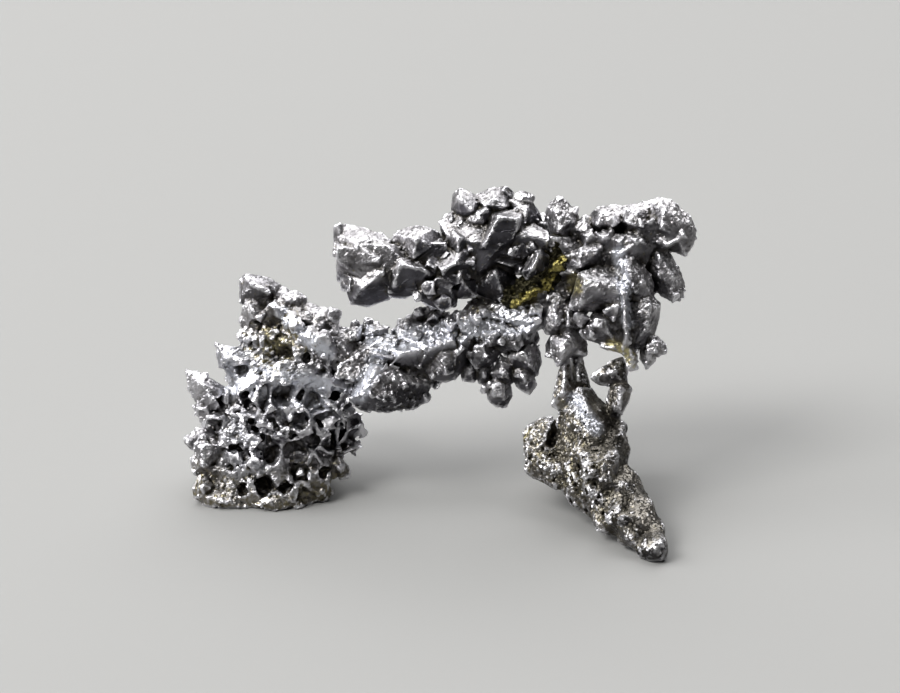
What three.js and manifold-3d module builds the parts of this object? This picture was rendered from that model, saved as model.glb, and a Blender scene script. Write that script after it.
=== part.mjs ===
// A branching acanthite specimen: blocky, thorny silver sulphide crystals grown together in one spray.
// It stands on its left mass and on a tapering leg. The spray is split at its main forks into five
// closed solids, and a seam of brassy chalcopyrite fills the recess where the forks meet.
//
// Everything is first laid out in the spray's own plane: x runs across the spray, y up along it and
// z out of its front. The finished spray then leans back and stands on the ground. Millimetres.

import * as THREE from "three";
import { ConvexGeometry } from "three/addons/geometries/ConvexGeometry.js";
import { mergeVertices } from "three/addons/utils/BufferGeometryUtils.js";
import Module from "manifold-3d";

const wasm = await Module();
wasm.setup();

// ---------------------------------------------------------------------------------------------
// Driving dimensions

const LEAN = THREE.MathUtils.degToRad(25); // the spray's plane leans back from upright by this
const GROUND = -9.4; // distance of the ground from the spray's centre, along the upright
const FORK_GAP = 0.12; // clearance between two branches where they meet at a fork
const FINEST = 0.12; // edges shorter than this are merged into their neighbours
const WELD = 1e-5; // corners closer than this are one corner
const GOLDEN_ANGLE = Math.PI * (3 - Math.sqrt(5)); // spaces crystals evenly round a stem

// A thorn is an octahedron. Other crystals are cubes of half-size 1 with alternate corners cut off at
// this distance from the centre, which is 1.73 for a whole cube.
const CORNER = { nugget: 0.95, block: 1.3 };
const THORN_REACH = 1.35;

// Like crystals differ in size between these shares: those of a core little, those that stand out more.
const EVEN = [0.85, 1.15];
const UNEVEN = [0.8, 1.25];
const STANDS_AT = 0.85; // a crystal that stands out of a stem is centred at this share of its radius
const WAVER = 0.12; // the corners round a set crystal's middle stray this far out of its plane
const SKEW = 0.3; // its hidden crests stray this far from the ones in front
const SLANT = 0.3; // a crystal that stands out of a stem slants along it by up to this share
const THINNEST = 0.5; // a crystal thinner than this swells at a fork as if it were this thick

// ---------------------------------------------------------------------------------------------
// Making and joining solids

const random = (low, high) => low + (high - low) * THREE.MathUtils.seededRandom();
const vector = ([x, y, z]) => new THREE.Vector3(x, y, z);

/** A closed three.js geometry as a manifold-3d solid. */
function solidOf(geometry) {
  geometry.deleteAttribute("normal");
  geometry.deleteAttribute("uv");
  const merged = mergeVertices(geometry, WELD);
  const vertProperties = new Float32Array(merged.attributes.position.array);
  const triVerts = new Uint32Array(merged.index.array);
  return new wasm.Manifold(new wasm.Mesh({ numProp: 3, vertProperties, triVerts }));
}

/** A manifold-3d solid as a three.js geometry with flat faces. */
function geometryOf(solid) {
  const mesh = solid.getMesh();
  const geometry = new THREE.BufferGeometry()
    .setAttribute("position", new THREE.BufferAttribute(new Float32Array(mesh.vertProperties), 3))
    .setIndex(new THREE.BufferAttribute(new Uint32Array(mesh.triVerts), 1));
  const flat = geometry.toNonIndexed();
  flat.computeVertexNormals();
  return flat;
}

const join = (solids) => wasm.Manifold.union(solids);

/** A crystal of unit half-size: a sharp octahedron, or a cube with unevenly cut alternate corners. */
function growth(habit) {
  if (habit === "thorn") return solidOf(new THREE.OctahedronGeometry(THORN_REACH));
  let solid = solidOf(new THREE.BoxGeometry(2, 2, 2));
  const hand = random(0, 1) < 0.5 ? -1 : 1;
  for (const [sx, sy, sz] of [[1, 1, 1], [1, -1, -1], [-1, 1, -1], [-1, -1, 1]]) {
    const inward = new THREE.Vector3(sx, sy, sz).multiplyScalar(-hand).normalize();
    solid = solid.trimByPlane(inward.toArray(), -CORNER[habit] * random(...EVEN));
  }
  return solid;
}

/** A crystal centred at `at` that points along `aim`; `reach` and `girth` are half its length and width. */
function crystal(at, aim, reach, girth, habit = "nugget") {
  const turn = new THREE.Quaternion().setFromUnitVectors(
    new THREE.Vector3(0, 0, 1),
    vector(aim).normalize(),
  );
  const roll = new THREE.Quaternion().setFromAxisAngle(new THREE.Vector3(0, 0, 1), random(0, Math.PI));
  turn.multiply(roll);
  const size = new THREE.Vector3(girth * random(...EVEN), girth * random(...EVEN), reach);
  return growth(habit).transform(new THREE.Matrix4().compose(vector(at), turn, size).elements);
}

/**
 * A crystal with set corners: the hull of an outline [x, y] that runs round its middle, in the plane
 * at depth z, and of crests [x, y, height] that stand in front of that plane and, lower, behind it.
 */
function gem(z, outline, crests, back = 0.8) {
  const points = outline.map(([x, y]) => new THREE.Vector3(x, y, z + random(-WAVER, WAVER)));
  for (const [x, y, height] of crests) {
    points.push(new THREE.Vector3(x, y, z + height));
    points.push(new THREE.Vector3(x + random(-SKEW, SKEW), y + random(-SKEW, SKEW), z - back * height));
  }
  return solidOf(new ConvexGeometry(points));
}

/** The hull of set corners [x, y, z]. */
const core = (corners) => solidOf(new ConvexGeometry(corners.map(vector)));

/** A smooth line through knots [x, y, z, radius], as a function of a share from 0 to 1. */
function stem(knots) {
  const line = new THREE.CatmullRomCurve3(knots.map(vector));
  const last = knots.length - 1;
  return (share) => {
    const place = Math.min(share * last, last - 1e-6); // the last knot belongs to the span before it
    const knot = Math.floor(place);
    return {
      at: line.getPoint(share),
      along: line.getTangent(share),
      radius: THREE.MathUtils.lerp(knots[knot][3], knots[knot + 1][3], place - knot),
    };
  };
}

/** Overlapping crystals strung along a stem, which make its solid core or a row of beads. */
function strung(knots, count, habit = "nugget", length = 1.25) {
  const line = stem(knots);
  return Array.from({ length: count }, (_, i) => {
    const { at, along, radius } = line(i / (count - 1));
    return crystal(at.toArray(), along.toArray(), radius * length, radius, habit);
  });
}

/**
 * Crystals that stand out from a stem all round, a golden angle apart. Those that would point out of
 * the front by more than `front` are left out, where the branch has set crystals of its own.
 */
function bristling(knots, count, { front = 0.2, reach = 0.75, girth = 0.42, habit = "nugget" } = {}) {
  const line = stem(knots);
  const found = [];
  for (let i = 0; i < count; i++) {
    const { at, along, radius } = line((i + 0.5) / count);
    const side = new THREE.Vector3(0, 0, 1).cross(along).normalize();
    const out = side.applyAxisAngle(along, i * GOLDEN_ANGLE);
    const length = radius * reach * random(...UNEVEN);
    const width = radius * girth * random(...UNEVEN);
    if (out.z > front) continue;
    const centre = at.clone().addScaledVector(out, radius * STANDS_AT);
    const aim = out.addScaledVector(along, random(-SLANT, SLANT));
    found.push(crystal(centre.toArray(), aim.toArray(), length, width, habit));
  }
  return found;
}

/** Convex solids, each swollen about its own centre by the fork gap, to be cut from a neighbour. */
function swollen(solids) {
  return join(
    solids.map((solid) => {
      const { min, max } = solid.boundingBox();
      const centre = min.map((low, i) => (low + max[i]) / 2);
      const scale = min.map((low, i) => 1 + (2 * FORK_GAP) / Math.max(max[i] - low, THINNEST));
      return solid.translate(centre.map((c) => -c)).scale(scale).translate(centre);
    }),
  );
}

/** The largest closed body of a solid, without slivers or the loose chips that a cut can leave. */
function tidied(solid) {
  const bodies = solid.asOriginal().simplify(FINEST).decompose();
  return bodies.reduce((a, b) => (b.volume() > a.volume() ? b : a));
}

// ---------------------------------------------------------------------------------------------
// Middle arm: a big dark block, a granular crest and small blocks that hang below it

function middleArm() {
  THREE.MathUtils.seededRandom(11);
  const spine = [[-6.6, 0.9, -1.6, 1.5], [-3.6, 0.6, -1.0, 1.6], [0, 1.6, -0.4, 1.5],
    [3.4, 2.6, 0.0, 1.5], [6.0, 3.8, 0.2, 1.3], [7.4, 5.0, 0, 1.2]];
  return [
    ...strung(spine, 9),
    ...bristling(spine, 16, { front: -0.2, girth: 0.5 }),
    gem(-0.4, [[-6.3, -2.1], [-5.3, 0.7], [-3.9, 0.5], [-1.2, 0.1], [-0.4, -1.1], [-1.5, -2.7],
      [-3.5, -3.0], [-5.5, -2.9]],
      [[-4.3, 0.1, 1.9], [-5.5, -1.8, 1.4], [-2.2, -1.0, 1.7], [-3.6, -2.0, 1.7]]),
    gem(-0.6, [[-5.6, 0.6], [-5.2, 1.5], [-3.9, 2.1], [-2.9, 1.7], [-2.3, 0.6], [-3.4, -0.1]],
      [[-4.4, 1.1, 1.7], [-3.3, 0.8, 1.8]]),
    gem(-1.4, [[-6.8, 2.2], [-6.2, 3.1], [-5.4, 3.15], [-5.1, 1.6], [-6.4, 1.3]], [[-5.9, 2.4, 1.4]]),
    gem(-1.3, [[-5.5, 2.2], [-5.1, 3.2], [-4.3, 3.15], [-3.55, 2.95], [-3.7, 2.1], [-4.8, 1.3]],
      [[-4.7, 2.6, 1.3]]),
    gem(-0.4, [[-2.3, 2.3], [-2.1, 3.0], [-1.6, 3.1], [-1.2, 2.4], [-1.6, 1.5], [-2.2, 1.6]],
      [[-1.8, 2.3, 0.7]]),
    gem(0.2, [[-2.6, 0.6], [-1.6, 1.7], [-0.4, 2.3], [0.4, 2.0], [-0.2, 0.7], [-1.2, 0.0],
      [-2.3, -0.2]],
      [[-1.2, 1.0, 1.2], [-0.3, 1.5, 1.2]]),
    gem(0.5, [[-1.0, 0.0], [0.0, 1.4], [1.8, 2.0], [2.4, 1.5], [1.8, 0.1], [1.1, -0.7], [0.5, -0.95],
      [-0.4, -0.7]],
      [[0.3, 1.1, 1.3], [1.6, 1.3, 1.2], [0.6, 0.0, 1.2]]),
    gem(0.3, [[-0.8, 2.2], [-0.2, 3.1], [1.3, 4.1], [2.2, 3.9], [2.3, 2.4], [1.0, 1.5]],
      [[0.8, 2.7, 1.2], [1.5, 3.2, 1.0]]),
    gem(-0.2, [[-0.7, 3.5], [-0.5, 4.15], [0.0, 4.2], [0.5, 3.7], [0.2, 3.0]], [[-0.2, 3.7, 0.6]]),
    gem(0.1, [[1.6, 3.9], [2.2, 4.75], [3.3, 5.1], [3.9, 4.9], [4.5, 4.5], [5.4, 4.0], [4.6, 2.6],
      [2.4, 2.6]],
      [[2.8, 3.9, 1.4], [4.2, 3.6, 1.4]]),
    gem(0.9, [[2.1, 1.0], [3.0, 2.2], [4.0, 2.1], [4.3, 1.2], [3.7, 0.25], [2.6, 0.1]],
      [[3.1, 1.6, 1.1], [3.3, 0.9, 1.0]]),
    gem(0.6, [[4.6, 3.8], [5.6, 3.9], [6.5, 3.85], [6.9, 2.8], [6.6, 1.8], [5.8, 1.3], [4.8, 1.8],
      [4.3, 2.8]],
      [[5.9, 3.2, 1.2], [6.2, 2.2, 1.1]]),
    gem(0.5, [[4.9, 1.7], [6.6, 2.2], [7.1, 1.2], [7.25, 0.4], [6.9, -0.4], [5.8, -0.5], [4.9, 0.4]],
      [[6.0, 1.2, 1.1], [6.4, 0.3, 1.0], [5.3, 0.9, 1.0]]),
    gem(0.7, [[5.2, -0.5], [5.6, 0.3], [6.4, 0.2], [6.85, -1.1], [6.4, -1.75], [5.7, -1.35]],
      [[6.0, -0.6, 0.8]]),
    gem(0.6, [[3.7, -0.3], [4.4, 0.9], [5.3, 0.6], [5.2, -0.9], [4.3, -1.3]], [[4.6, -0.3, 0.8]]),
    gem(0.4, [[3.4, -1.1], [4.1, -0.4], [4.9, -0.6], [5.15, -1.9], [4.8, -2.6], [4.1, -2.65],
      [3.5, -2.1]],
      [[4.1, -1.3, 0.8], [4.5, -2.0, 0.8]]),
    gem(0.2, [[2.6, -0.2], [2.9, 0.9], [3.9, 0.6], [3.9, -0.4], [3.6, -1.1], [2.9, -1.0]],
      [[3.2, -0.3, 0.8]]),
    gem(0.2, [[1.5, 0.2], [2.5, 0.6], [2.8, -0.3], [2.5, -0.9], [1.8, -0.75]], [[2.2, -0.2, 0.7]]),
    // The curled blade that arches over to the upper arm
    ...strung([[-2.7, 1.5, -1.2, 0.24], [-2.8, 2.6, -1.1, 0.24], [-2.0, 3.5, -0.8, 0.22],
      [-1.0, 3.95, -0.5, 0.22], [-0.4, 4.5, 0.0, 0.22]], 14, "nugget", 1.4),
  ];
}

// ---------------------------------------------------------------------------------------------
// Upper arm: a wedge at its free end, two big dark-faced blocks, then a crowd of blocks

function upperArm() {
  THREE.MathUtils.seededRandom(23);
  const z = 1.0; // depth of this arm's middle
  const spine = [[-5.2, 7.4, z - 0.2, 1.5], [-2.0, 7.3, z - 0.2, 1.6], [1.2, 7.6, z - 0.6, 1.6],
    [4.0, 9.0, z - 0.9, 2.0], [6.2, 8.6, z - 1.2, 1.9], [8.6, 7.6, z - 1.4, 1.5]];
  return [
    ...strung(spine, 10),
    ...bristling(spine, 22, { front: -0.2, reach: 0.8, girth: 0.55 }),
    // Wedge
    gem(z, [[-7.35, 9.5], [-6.8, 10.15], [-5.2, 9.9], [-3.9, 9.5], [-3.0, 8.7], [-3.2, 7.0],
      [-5.0, 6.4], [-6.8, 6.9], [-7.0, 8.0]],
      [[-5.8, 8.8, 1.6], [-4.3, 7.6, 2.0], [-5.8, 7.4, 1.5]]),
    gem(z, [[-6.7, 7.1], [-6.5, 5.9], [-6.15, 4.6], [-5.0, 4.4], [-3.4, 5.0], [-3.0, 6.5], [-3.6, 7.3]],
      [[-5.3, 5.7, 1.5], [-3.9, 6.8, 1.9]]),
    crystal([-6.9, 9.7, z], [-0.6, 1, 0], 0.45, 0.42),
    crystal([-6.9, 8.4, z + 0.2], [-1, 0.1, 0.2], 0.42, 0.36),
    // Upper and lower block
    gem(z + 0.3, [[-3.15, 9.5], [-2.2, 9.95], [-1.2, 10.05], [-0.4, 9.8], [0.25, 9.1], [0.35, 8.2],
      [-0.3, 7.4], [-1.6, 7.1], [-2.9, 8.0]],
      [[-1.5, 9.1, 1.8], [-0.6, 8.6, 1.4], [-1.7, 7.8, 1.5]]),
    gem(z + 0.8, [[-3.85, 6.2], [-2.9, 7.9], [-2.2, 8.1], [-0.8, 7.3], [0.1, 6.5], [-0.5, 5.9],
      [-1.6, 5.35], [-2.4, 5.0], [-3.4, 5.15]],
      [[-2.65, 7.3, 1.6], [-0.9, 6.9, 1.3], [-3.1, 5.9, 1.0]]),
    // Beaded shelf
    gem(z + 0.5, [[-1.5, 5.1], [-1.1, 5.7], [0.8, 6.1], [1.4, 5.5], [1.2, 4.45], [0.0, 4.3],
      [-0.9, 4.6]],
      [[-0.7, 5.5, 0.9], [0.8, 5.6, 1.0]]),
    ...strung([[-1.3, 5.35, z + 1.0, 0.4], [-0.2, 5.8, z + 1.2, 0.4], [0.9, 6.3, z + 1.2, 0.42],
      [1.7, 6.7, z + 1.1, 0.4]], 5, "nugget", 1),
    gem(z + 0.3, [[0.9, 5.9], [1.9, 6.8], [2.5, 6.2], [2.6, 5.1], [1.2, 5.0]], [[1.7, 6.1, 1.2]]),
    // Column and the crowd above it
    gem(z + 0.7, [[0.6, 9.4], [1.0, 9.85], [1.9, 9.5], [2.4, 9.1], [1.8, 8.3], [1.5, 7.45], [1.1, 7.4],
      [0.75, 8.3]],
      [[1.4, 9.2, 0.9], [1.4, 8.2, 0.8]]),
    crystal([0.3, 7.6, z + 0.8], [-0.5, 0.6, 1], 0.6, 0.5),
    crystal([0.6, 6.9, z + 1.0], [0.2, 0.2, 1], 0.6, 0.5),
    gem(z - 0.6, [[1.05, 12.3], [1.5, 12.7], [2.2, 12.45], [2.9, 12.1], [3.2, 11.0], [2.0, 10.2],
      [1.1, 10.5], [0.9, 11.3]],
      [[1.6, 11.9, 1.3], [2.3, 11.2, 1.5]]),
    gem(z - 0.6, [[2.6, 12.2], [3.9, 12.8], [4.5, 12.7], [4.9, 12.2], [5.3, 11.5], [4.4, 10.6],
      [3.0, 10.4]],
      [[3.9, 12.0, 1.3], [3.3, 11.5, 1.5], [4.6, 11.4, 1.5]]),
    gem(z + 0.3, [[1.9, 10.45], [2.9, 11.2], [3.6, 11.5], [4.15, 11.2], [3.8, 10.2], [3.1, 9.9],
      [2.2, 10.0]],
      [[3.2, 11.1, 1.0], [2.6, 10.4, 0.8]]),
    gem(z - 0.5, [[0.2, 10.2], [0.4, 10.85], [0.95, 11.1], [1.5, 10.5], [1.1, 9.5], [0.35, 9.55]],
      [[0.95, 10.5, 0.9]]),
    gem(z + 0.5, [[2.45, 8.0], [3.1, 9.6], [3.9, 10.9], [4.4, 11.15], [5.9, 11.05], [6.25, 10.2],
      [6.0, 9.1], [4.8, 8.3], [4.0, 7.8]],
      [[4.25, 10.6, 1.9], [5.6, 10.5, 1.8], [3.2, 8.7, 1.5], [5.2, 9.2, 1.5]]),
    gem(z - 0.3, [[5.0, 11.9], [5.9, 12.0], [6.6, 11.75], [7.05, 11.0], [7.3, 10.2], [6.6, 9.4],
      [5.6, 9.7]],
      [[6.2, 11.3, 1.3], [6.1, 10.4, 1.4]]),
    // Knotted ring below the crowd, then the faces that look down into the recess
    ...strung([[4.6, 8.5, z + 1.1, 0.42], [5.7, 8.3, z + 1.2, 0.42], [6.6, 8.6, z + 1.1, 0.42],
      [6.8, 9.3, z + 0.8, 0.42]], 5, "nugget", 1),
    gem(z + 1.2, [[5.9, 6.8], [6.1, 7.4], [6.6, 8.3], [7.2, 8.5], [7.7, 7.9], [7.6, 7.0], [7.0, 6.4],
      [6.15, 6.3]],
      [[7.0, 8.0, 0.9], [6.6, 7.1, 1.0]]),
    gem(z - 0.6, [[2.5, 6.2], [3.1, 7.3], [4.2, 7.7], [5.1, 7.0], [5.6, 6.2], [5.3, 4.7], [4.4, 4.6],
      [2.6, 5.4]],
      [[4.0, 6.8, 1.6], [4.4, 5.6, 1.4], [3.3, 6.2, 1.2]]),
    gem(z, [[2.0, 6.9], [2.3, 7.95], [3.3, 8.1], [3.5, 7.2], [2.5, 6.5]], [[2.7, 7.4, 1.0]]),
  ];
}

// ---------------------------------------------------------------------------------------------
// Right head: blunt, petal-like crystals that burst from a hub

function rightHead() {
  THREE.MathUtils.seededRandom(37);
  const z = 1.3; // depth of the hub's middle
  return [
    ...strung([[8.8, 8.6, z - 1.6, 1.4], [9.0, 5.4, z - 1.2, 1.4], [9.0, 2.2, z - 0.6, 1.0]], 4),
    ...strung([[9.4, 8.0, z - 1.2, 1.6], [11.6, 7.6, z - 1.0, 1.8], [13.6, 8.6, z - 0.8, 1.6],
      [15.6, 9.6, z - 0.4, 1.3]], 5),
    ...strung([[11.0, 6.4, z - 0.6, 1.7], [12.8, 4.6, z - 0.5, 1.5], [13.6, 2.8, z - 0.2, 1.1]], 4),
    ...bristling([[8.6, 9.2, z - 1.4, 1.7], [9.0, 6.0, z - 1.2, 1.9], [9.2, 2.4, z - 0.8, 1.3]], 12,
      { front: -0.3, girth: 0.5 }),
    ...bristling([[10.0, 8.2, z - 1.3, 2.1], [12.6, 8.2, z - 1.0, 2.1], [15.8, 9.4, z - 0.6, 1.6]], 18,
      { front: -0.3, reach: 0.85, girth: 0.5 }),
    ...bristling([[11.0, 6.4, z - 0.8, 2.0], [12.8, 4.6, z - 0.6, 1.8], [13.8, 2.6, z - 0.2, 1.2]], 15,
      { front: -0.3, girth: 0.5 }),
    // Lone crystal beside the upper arm
    gem(z - 0.6, [[7.5, 10.6], [7.65, 11.35], [8.2, 11.7], [8.4, 12.0], [8.85, 11.95], [9.3, 11.4],
      [9.8, 10.9], [10.0, 10.0], [9.2, 9.1], [8.0, 9.1], [7.5, 9.6]],
      [[8.3, 11.0, 1.3], [9.2, 10.4, 1.3], [8.5, 9.8, 1.5]]),
    crystal([10.0, 9.8, z - 0.2], [0.6, 0.4, 0.6], 0.75, 0.55),
    crystal([10.5, 9.2, z + 0.1], [0.2, -0.4, 0.8], 0.8, 0.5),
    // Upper right lobe and the blocks along it
    gem(z, [[14.8, 11.75], [15.5, 12.05], [16.3, 11.85], [17.0, 11.25], [17.75, 10.6], [18.1, 9.7],
      [17.9, 8.8], [17.4, 8.0], [16.5, 8.3], [15.5, 8.8], [14.8, 9.5], [14.5, 10.8]],
      [[15.8, 11.1, 1.5], [16.9, 10.3, 1.5], [15.6, 9.9, 1.8], [16.8, 9.1, 1.2]]),
    gem(z - 0.3, [[12.7, 11.4], [14.0, 11.65], [15.0, 11.8], [15.3, 10.5], [14.7, 9.3], [13.3, 9.4],
      [12.5, 10.2]],
      [[13.9, 10.9, 1.6], [14.3, 10.0, 1.8], [13.2, 10.3, 1.5]]),
    gem(z - 0.5, [[10.45, 10.5], [11.0, 11.15], [11.7, 11.45], [13.0, 11.45], [13.3, 10.4], [12.4, 9.4],
      [11.2, 9.3], [10.5, 9.8]],
      [[11.5, 10.9, 1.4], [12.5, 10.4, 1.6], [11.2, 10.2, 1.3]]),
    gem(z + 0.7, [[11.0, 9.6], [12.2, 9.8], [12.5, 8.9], [11.7, 8.5], [11.1, 8.9]], [[11.8, 9.3, 0.7]]),
    gem(z + 0.6, [[11.9, 9.2], [13.2, 9.5], [13.3, 8.2], [12.4, 8.0], [11.9, 8.5]], [[12.7, 8.9, 0.9]]),
    gem(z + 0.7, [[13.0, 9.5], [14.4, 9.7], [14.6, 8.3], [13.6, 8.0], [13.1, 8.3]], [[13.8, 9.0, 0.9]]),
    // Petals on the right
    gem(z - 0.5, [[14.0, 8.7], [15.1, 9.05], [15.8, 8.5], [16.5, 7.8], [17.05, 6.9], [17.3, 5.9],
      [17.2, 5.1], [16.5, 4.8], [15.7, 5.2], [15.0, 6.1], [14.4, 7.0]],
      [[15.5, 8.0, 1.2], [16.4, 6.6, 1.3], [16.4, 5.5, 1.0], [15.5, 6.6, 1.1]]),
    gem(z + 0.5, [[12.3, 7.4], [13.1, 8.0], [13.8, 7.65], [14.6, 6.95], [15.05, 6.0], [15.0, 5.0],
      [14.2, 4.7], [13.1, 5.2], [12.4, 6.4]],
      [[13.3, 7.2, 1.3], [14.3, 6.2, 1.3], [13.7, 5.4, 1.3]]),
    gem(z + 0.3, [[13.4, 5.6], [15.0, 5.3], [15.55, 4.4], [15.5, 3.6], [15.15, 2.9], [15.0, 2.1],
      [14.4, 1.4], [13.4, 1.6], [13.1, 3.0]],
      [[14.7, 4.5, 1.3], [14.6, 3.0, 1.3], [13.9, 3.8, 1.1], [14.0, 2.2, 0.9]]),
    gem(z + 0.6, [[14.7, 2.5], [15.4, 2.2], [16.0, 1.7], [15.95, 1.2], [15.4, 0.95], [14.6, 1.4]],
      [[15.3, 1.7, 0.7]]),
    gem(z + 0.2, [[14.2, 1.8], [15.3, 1.2], [15.2, 0.6], [14.6, 0.1], [14.2, 0.8]], [[14.7, 0.9, 0.7]]),
    // Petals that face forward
    gem(z + 1.3, [[9.8, 6.7], [10.9, 7.0], [11.9, 6.6], [12.9, 6.0], [13.2, 5.2], [12.4, 4.4],
      [11.4, 4.2], [9.9, 4.0], [9.15, 4.3], [9.7, 5.4]],
      [[10.5, 6.2, 1.3], [11.9, 6.0, 1.4], [12.6, 5.3, 1.2], [11.3, 5.5, 1.4], [10.0, 4.6, 0.8]]),
    gem(z + 1.5, [[12.2, 6.2], [12.9, 6.05], [13.25, 5.3], [13.3, 4.0], [13.4, 2.6], [13.45, 1.8],
      [12.9, 1.4], [12.6, 3.0], [12.4, 4.6]],
      [[12.9, 5.3, 1.0], [13.0, 3.6, 0.9], [13.1, 2.3, 0.7]]),
    gem(z + 1.0, [[9.9, 2.6], [10.5, 3.5], [11.1, 4.1], [12.0, 4.0], [12.7, 3.2], [13.0, 1.8],
      [12.7, 1.5], [11.5, 1.8], [10.1, 2.2]],
      [[11.6, 3.4, 1.3], [11.9, 2.5, 1.1], [10.8, 3.1, 1.0]]),
    crystal([12.2, 4.0, z + 1.9], [0.3, 0.6, 1], 0.7, 0.5, "thorn"),
    crystal([10.0, 3.5, z + 1.3], [-0.5, 0.5, 1], 0.65, 0.45, "thorn"),
    // Slim dark crystals between the head and the arms
    gem(z + 0.3, [[7.3, 3.0], [7.6, 4.3], [8.3, 5.3], [9.0, 5.0], [9.2, 3.9], [9.1, 2.9], [8.3, 2.5],
      [7.6, 2.5]],
      [[8.1, 4.4, 1.0], [8.3, 3.3, 1.1]]),
    gem(z + 0.1, [[7.9, 2.2], [8.9, 2.9], [9.8, 2.7], [9.8, 1.5], [9.0, 0.7], [8.4, 0.2], [7.9, 1.2]],
      [[9.0, 2.1, 0.9], [8.8, 1.3, 0.9]]),
    gem(z + 0.6, [[8.8, 7.9], [9.8, 8.4], [10.9, 8.9], [11.55, 8.7], [11.4, 7.4], [10.3, 7.0],
      [8.9, 6.7]],
      [[10.0, 8.2, 0.9], [11.1, 8.3, 0.9], [9.9, 7.3, 0.8]]),
    // Curled hook under the forward petals
    ...strung([[12.0, 1.8, z + 1.0, 0.34], [12.9, 1.6, z + 1.1, 0.34], [13.35, 1.1, z + 1.1, 0.32],
      [13.5, 0.4, z + 1.0, 0.26]], 5, "nugget", 1.6),
  ];
}

// ---------------------------------------------------------------------------------------------
// Lower leg: a rough horn that tapers forward to its blunt tip, with a heel behind it

function lowerLeg() {
  THREE.MathUtils.seededRandom(53);
  return [
    ...strung([[10.4, -4.6, 0.4, 1.9], [11.4, -7.6, 1.9, 1.9], [13.2, -10.3, 3.8, 1.4],
      [14.8, -12.2, 5.6, 0.9]], 5),
    // Body, from the shoulder down to the tip
    gem(0.3, [[5.8, -4.5], [6.1, -3.95], [6.9, -3.6], [7.8, -3.1], [8.6, -3.6], [8.6, -5.6],
      [7.3, -6.4], [6.0, -6.2]],
      [[6.9, -4.8, 1.2], [7.6, -5.6, 1.4]]),
    gem(0.6, [[6.0, -5.8], [7.6, -5.2], [9.2, -5.4], [9.6, -7.2], [8.6, -8.6], [7.4, -8.1],
      [6.1, -7.4]],
      [[7.4, -6.5, 1.5], [8.5, -7.4, 1.6]]),
    gem(0.9, [[8.4, -3.1], [9.2, -1.9], [10.4, -1.2], [11.2, -2.1], [12.3, -3.0], [12.9, -3.8],
      [13.15, -5.3], [13.5, -6.9], [11.8, -8.0], [9.2, -7.4], [8.3, -5.2]],
      [[9.6, -2.8, 1.6], [11.0, -4.4, 2.3], [12.2, -5.6, 1.9], [9.8, -5.8, 2.2]], 0.9),
    gem(2.2, [[8.6, -6.4], [12.0, -5.8], [13.6, -6.9], [14.1, -7.6], [14.6, -8.6], [14.9, -9.8],
      [13.0, -11.3], [11.0, -10.8], [9.8, -9.6], [8.5, -8.6]],
      [[10.6, -7.6, 2.1], [13.0, -8.2, 1.9], [11.5, -9.6, 1.9], [13.5, -9.8, 1.8]], 0.9),
    gem(4.1, [[11.8, -9.0], [14.6, -8.8], [15.1, -9.9], [15.6, -11.1], [15.8, -11.9], [15.0, -12.8],
      [13.4, -12.2], [12.2, -11.3], [11.4, -10.7]],
      [[13.4, -10.2, 1.5], [14.8, -11.0, 1.3], [13.6, -11.5, 1.3]], 1),
    gem(6.2, [[13.9, -12.0], [15.4, -11.2], [15.85, -12.1], [15.9, -12.9], [15.4, -13.4], [14.5, -13.4],
      [13.9, -12.9]],
      [[14.8, -12.2, 1.1], [15.2, -12.9, 0.9]], 1.8),
    crystal([11.6, -6.6, 3.5], [0.3, 0.2, 1], 0.7, 0.9),
    crystal([12.4, -10.2, 5.2], [-0.3, -0.2, 1], 0.6, 0.8),
    // Heel, a broad lobe behind the horn that reaches back to the ground
    core([[8.6, -3.6, -0.4], [12.6, -3.4, -0.4], [13.2, -6.4, -0.6], [9.0, -7.4, -0.4],
      [9.2, -5.0, -3.6], [12.6, -4.8, -3.4], [13.0, -8.2, -3.2], [11.8, -10.0, -1.6], [9.4, -9.4, -1.8],
      [9.6, -7.4, -5.6], [12.2, -7.2, -5.8], [11.0, -9.6, -5.6]]),
    ...bristling([[10.6, -4.2, -2.2, 1.7], [10.8, -6.4, -3.6, 1.9], [11.0, -8.6, -4.4, 1.7]], 11,
      { front: 0.3, girth: 0.5 }),
    // Struts that join the horn to the head
    gem(1.2, [[8.3, -1.6], [8.5, -0.2], [8.7, 0.9], [9.2, 0.9], [9.25, -0.8], [9.6, -2.2], [8.7, -3.2],
      [8.0, -2.6]],
      [[8.8, -1.4, 0.7], [8.9, 0.2, 0.4]]),
    gem(0.4, [[9.4, 0.9], [9.9, 1.6], [10.2, 0.6], [10.2, -0.8], [10.9, -2.2], [9.6, -2.8],
      [9.4, -0.8]],
      [[9.8, -0.6, 0.7], [9.9, 0.6, 0.4]]),
    // Bead and block beside the struts
    gem(1.4, [[11.8, -2.2], [12.1, -1.2], [12.6, -0.8], [13.1, -0.85], [13.55, -1.4], [13.4, -2.2],
      [13.0, -2.9], [12.5, -3.6], [11.9, -3.4]],
      [[12.8, -1.5, 0.9], [12.7, -2.4, 0.8]]),
    gem(1.4, [[10.7, -0.6], [11.5, 0.15], [12.1, 0.4], [12.9, 0.8], [13.25, 0.0], [13.2, -1.2],
      [12.3, -1.2], [11.2, -1.0]],
      [[12.3, -0.2, 0.7]]),
    // Grains that roughen the horn's edges
    ...strung([[6.5, -7.1, 0.6, 0.45], [8.7, -8.3, 1.5, 0.45], [10.9, -10.3, 3.0, 0.45],
      [13.0, -11.8, 4.8, 0.4]], 5),
    ...strung([[12.6, -3.9, 1.2, 0.35], [13.1, -6.6, 1.9, 0.4], [14.3, -8.9, 3.1, 0.4],
      [15.3, -11.0, 4.6, 0.4]], 5),
  ];
}

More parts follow.
